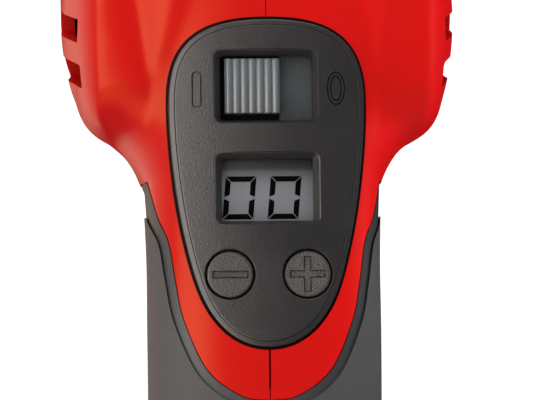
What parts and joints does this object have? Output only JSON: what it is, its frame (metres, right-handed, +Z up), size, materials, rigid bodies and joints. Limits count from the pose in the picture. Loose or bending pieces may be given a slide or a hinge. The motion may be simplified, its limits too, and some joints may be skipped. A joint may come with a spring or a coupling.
{
  "type": "heat gun",
  "caption": "Pistol-grip electric heat gun with a steel outlet tube, two-shell body, soft grip and a rear panel with slide switch, display and two push buttons.",
  "frame": {"origin": "under the middle of the whole tool, at the height of the base of the handle", "axes": "+Y towards the nozzle, control panel towards -Y, +Z up, +X to the right seen from behind"},
  "size_m": [0.085, 0.2374, 0.2029],
  "materials": {
    "red_shell": "moulded red plastic with a fine grain, satin gloss",
    "panel_grey": "dark grey fine-grained plastic",
    "soft_grip": "soft overmould, matt",
    "knob_grey": "mid grey ribbed plastic",
    "black_plastic": "black moulded plastic",
    "clear_window": "clear display window",
    "lcd": "reflective liquid crystal display",
    "steel": "drawn steel, heat tinted at the mouth",
    "wire": "resistance wire",
    "mica": "mica sheet",
    "ceramic": "unglazed ceramic",
    "circuit_board": "glass-fibre board",
    "aluminium": "extruded",
    "white_plastic": "white moulded plastic"
  },
  "bodies": {
    "body": {"housing_left": "red_shell", "housing_right": "red_shell", "grip_left": "soft_grip", "grip_right": "soft_grip", "intake_screen_left": "black_plastic", "intake_screen_right": "black_plastic", "nozzle_guard": "black_plastic", "nozzle_tube": "steel", "heat_shield": "steel", "heater_base": "ceramic", "mica_cross": "mica", "mica_sleeve": "mica", "heater_coil": "wire", "temperature_sensor": "steel", "thermal_cutout": "steel", "motor_can": "steel", "motor_end_bell": "white_plastic", "motor_cradle": "black_plastic", "rectifier_board": "circuit_board", "fan_duct": "black_plastic", "heat_sink": "aluminium", "triac": "black_plastic", "filter_capacitor": "white_plastic", "terminal_block": "white_plastic", "cord_clamp": "black_plastic", "cable_gland": "black_plastic", "control_panel": "panel_grey", "display_window": "clear_window", "lcd_module": "lcd", "lcd_holder": "black_plastic", "slide_switch_body": "black_plastic", "tact_switch_minus": "black_plastic", "tact_switch_plus": "black_plastic", "control_board": "circuit_board", "housing_screw_1": "steel", "housing_screw_2": "steel", "housing_screw_3": "steel", "housing_screw_4": "steel", "housing_screw_5": "steel", "housing_screw_6": "steel", "clamp_screw_1": "steel", "clamp_screw_2": "steel"},
    "fan_rotor": {"motor_shaft": "steel", "fan_impeller": "black_plastic"},
    "switch_slider": {"switch_slider": "knob_grey"},
    "minus_button": {"minus_button": "panel_grey"},
    "plus_button": {"plus_button": "panel_grey"}
  },
  "joints": [
    {"name": "switch_slide", "type": "slide", "parent": "body", "child": "switch_slider", "axis": [1, 0, 0], "range_m": [0, 0.0066]},
    {"name": "minus_press", "type": "slide", "parent": "body", "child": "minus_button", "axis": [0, 0.9781, -0.2079], "range_m": [0, 0.0008], "stiffness_N_per_m": 400, "springref_m": -0.0005},
    {"name": "plus_press", "type": "slide", "parent": "body", "child": "plus_button", "axis": [0, 0.9781, -0.2079], "range_m": [0, 0.0008], "stiffness_N_per_m": 400, "springref_m": -0.0005},
    {"name": "fan_spin", "type": "hinge", "parent": "body", "child": "fan_rotor", "pos_m": [0, -0.02125, 0.16], "axis": [0, 1, 0], "continuous": true}
  ]
}
